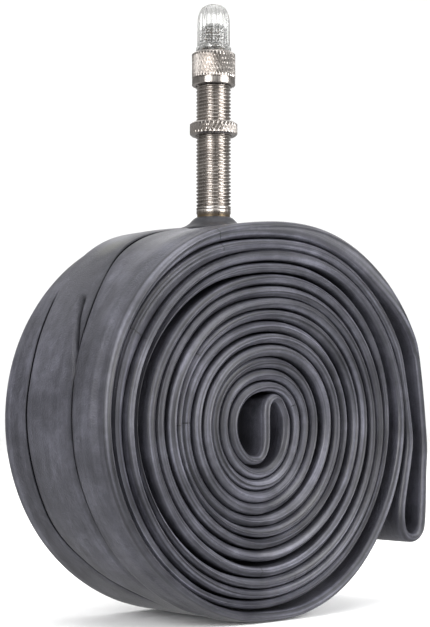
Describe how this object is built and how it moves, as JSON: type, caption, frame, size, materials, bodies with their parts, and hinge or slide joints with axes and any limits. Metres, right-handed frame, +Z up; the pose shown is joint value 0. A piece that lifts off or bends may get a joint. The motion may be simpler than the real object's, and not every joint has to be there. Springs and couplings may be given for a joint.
{
  "type": "bicycle inner tube",
  "caption": "Deflated bicycle inner tube, folded double and rolled up, with a threaded union-nut valve standing on its outer layer.",
  "frame": {"origin": "centre of the flat patch that the roll rests on, under the valve", "axes": "+Z up along the valve, +Y along the roll's axis from the front fold edges to the back, +X towards the outer fold"},
  "size_m": [0.0972, 0.035, 0.1351],
  "materials": {
    "butyl": "matte",
    "foot_rubber": "matte",
    "nickel_stem": "satin",
    "nickel_nut": "satin",
    "core_brass": "satin",
    "seal_rubber": "matte",
    "ball_steel": "polished",
    "clear_cap": "clear gloss"
  },
  "bodies": {
    "tube_and_stem": {"tube": "butyl", "valve_foot": "foot_rubber", "valve_stem": "nickel_stem"},
    "rim_nut": {"rim_nut": "nickel_nut"},
    "core": {"core_body": "core_brass", "core_seal": "seal_rubber", "ball_cage": "core_brass"},
    "check_ball": {"check_ball": "ball_steel"},
    "union_nut": {"union_nut": "nickel_nut"},
    "dust_cap": {"dust_cap": "clear_cap"}
  },
  "joints": [
    {"name": "rim_nut_travel", "type": "slide", "parent": "tube_and_stem", "child": "rim_nut", "axis": [0, 0, 1], "range_m": [-0.016, 0.008]},
    {"name": "core_lift", "type": "slide", "parent": "tube_and_stem", "child": "core", "axis": [0, 0, 1], "range_m": [0, 0.00476]},
    {"name": "union_nut_turn", "type": "hinge", "parent": "core", "child": "union_nut", "pos_m": [0, 0, 0.1205], "axis": [0, 0, 1], "range_deg": [0, 2160]},
    {"name": "dust_cap_lift", "type": "slide", "parent": "core", "child": "dust_cap", "axis": [0, 0, 1], "range_m": [0, 0.009]},
    {"name": "check_ball_lift", "type": "slide", "parent": "core", "child": "check_ball", "axis": [0, 0, 1], "range_m": [0, 0.0011]}
  ],
  "couplings": [
    {"joint": "union_nut_turn", "follows": "core_lift", "rad_per_m": 7913.3}
  ]
}
